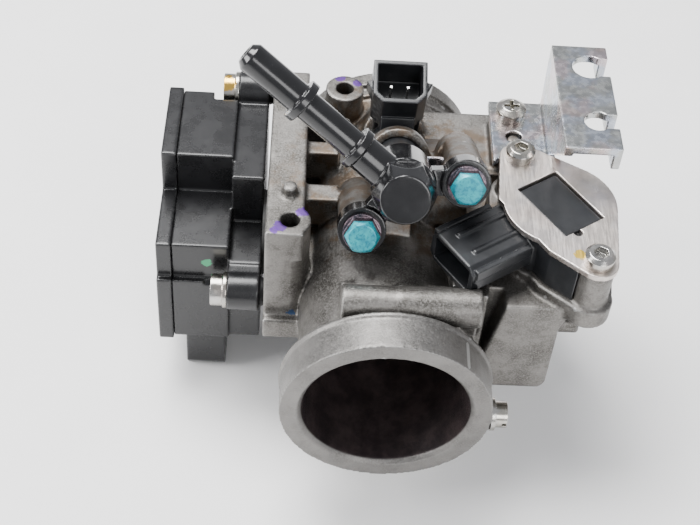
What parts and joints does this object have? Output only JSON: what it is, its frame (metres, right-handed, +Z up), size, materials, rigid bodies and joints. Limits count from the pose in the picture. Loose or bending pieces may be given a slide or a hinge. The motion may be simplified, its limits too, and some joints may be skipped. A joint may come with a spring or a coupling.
{
  "type": "throttle body",
  "caption": "Throttle body with a butterfly plate on a sprung cable drum, fuel injector, fuel joint, sensor unit and idle air valve.",
  "frame": {"origin": "centre of the inlet ring's front face, on the bore's axis", "axes": "+Y down the bore towards the engine, +Z up through the injector side, +X towards the cable side"},
  "size_m": [0.1239, 0.1045, 0.1176],
  "materials": {
    "cast_alloy": "as-cast aluminium alloy, fine sandy grain, machined faces brighter",
    "machined_steel": "turned and ground steel",
    "bronze": "sintered bronze bushes and brass blades",
    "brass_plate": "stamped brass plate",
    "black_rubber": "matt black rubber",
    "satin_black_plastic": "glass-filled black plastic, satin",
    "gloss_black_plastic": "smooth black plastic with a clear gloss",
    "matt_black_plastic": "dull black plastic with mould marks",
    "circuit_board": "green lacquered board",
    "zinc_steel": "zinc-plated pressed steel, faint iridescence",
    "steel_screws": "zinc-plated screws",
    "teal_bolts": "teal thread-lock paint on the heads of dark bolts",
    "cover_steel": "warm pale brushed steel plate",
    "spring_steel": "round spring wire"
  },
  "bodies": {
    "casting": {"throttle_housing": "cast_alloy", "engine_side_seal_ring": "black_rubber", "shaft_bush_left": "bronze", "shaft_bush_right": "bronze", "shaft_seals": "black_rubber", "return_spring": "spring_steel", "stop_screw": "steel_screws", "stop_screw_spring": "spring_steel", "sensor_housing": "satin_black_plastic", "sensor_cap": "satin_black_plastic", "sensor_circuit_board": "circuit_board", "sensor_socket_blades": "bronze", "sensor_screws": "steel_screws", "sensor_seal_ring": "black_rubber", "injector_body": "machined_steel", "injector_seal_rings": "black_rubber", "injector_connector": "matt_black_plastic", "injector_socket_blades": "bronze", "injector_retainer": "zinc_steel", "fuel_joint": "gloss_black_plastic", "fuel_joint_bolts": "teal_bolts", "idle_valve_body": "matt_black_plastic", "idle_valve_cover": "cover_steel", "idle_valve_screws": "steel_screws", "idle_valve_socket_blades": "bronze", "cable_bracket": "zinc_steel", "cable_bracket_screw": "steel_screws", "side_plug_screw": "steel_screws"},
    "throttle": {"throttle_shaft": "machined_steel", "throttle_plate": "brass_plate", "throttle_plate_screws": "steel_screws", "throttle_drum": "zinc_steel", "drum_washer": "steel_screws", "drum_nut": "steel_screws", "sensor_rotor": "matt_black_plastic"},
    "idle_slide": {"idle_valve_slide": "matt_black_plastic"}
  },
  "joints": [
    {"name": "throttle_turn", "type": "hinge", "parent": "casting", "child": "throttle", "pos_m": [0, 0.062, 0], "axis": [1, 0, 0], "range_deg": [0, 83], "stiffness_Nm_per_rad": 0.2, "springref_deg": -34.38},
    {"name": "idle_valve_travel", "type": "slide", "parent": "casting", "child": "idle_slide", "axis": [0, 0, -1], "range_m": [0, 0.006]}
  ]
}
